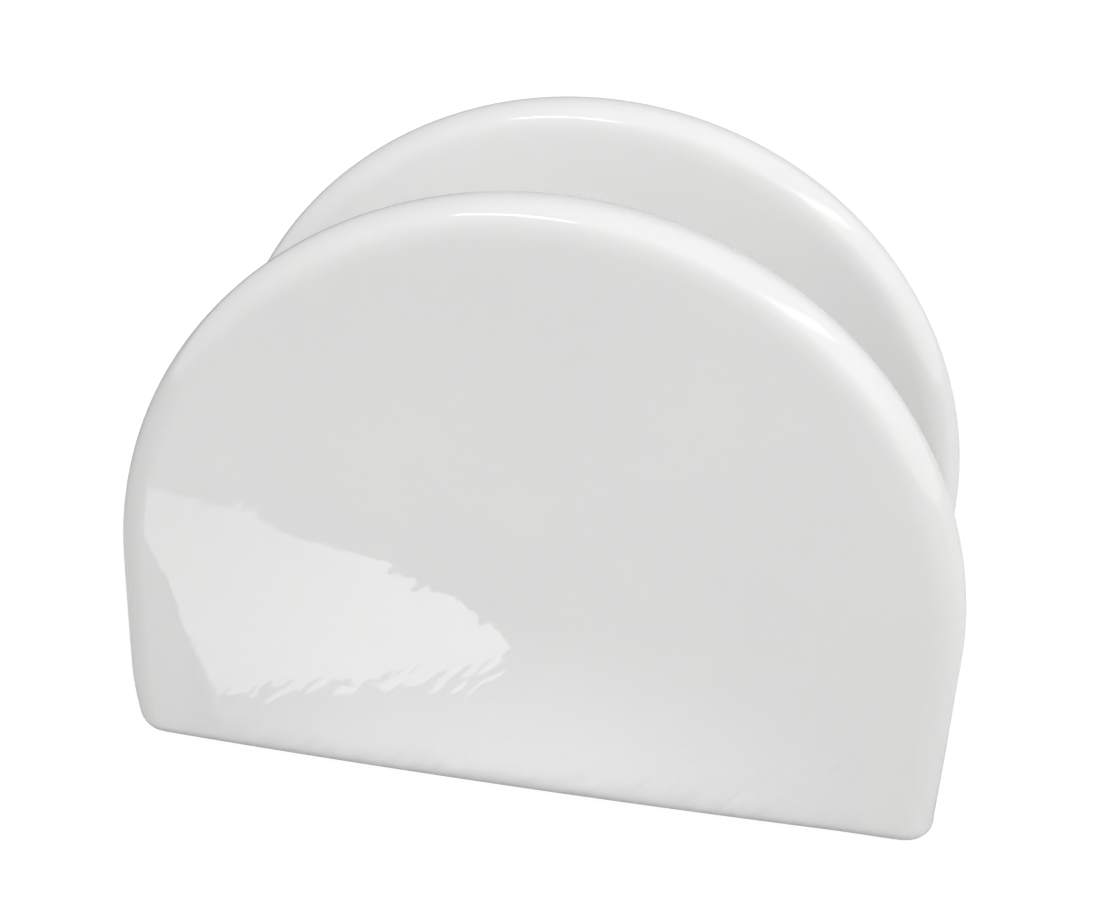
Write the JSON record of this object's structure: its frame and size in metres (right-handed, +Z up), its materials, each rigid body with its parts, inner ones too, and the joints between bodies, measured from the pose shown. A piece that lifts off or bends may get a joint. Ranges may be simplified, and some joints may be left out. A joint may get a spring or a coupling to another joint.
{
  "type": "napkin holder",
  "caption": "Table-top napkin holder in glazed white porcelain: two half-moon walls with full-round rims on a low floor.",
  "frame": {"origin": "centre of the footprint, on the plane of the feet", "axes": "+X along the walls, +Y from the front wall to the rear wall, +Z up"},
  "size_m": [0.12, 0.058, 0.09],
  "materials": {
    "glazed_porcelain": "smooth clear glaze over white porcelain",
    "bare_porcelain": "unglazed, ground flat"
  },
  "bodies": {
    "root": {"front_wall": "glazed_porcelain", "rear_wall": "glazed_porcelain", "floor_slab": "glazed_porcelain", "front_foot": "bare_porcelain", "rear_foot": "bare_porcelain", "front_seam": "glazed_porcelain", "rear_seam": "glazed_porcelain"}
  },
  "joints": []
}
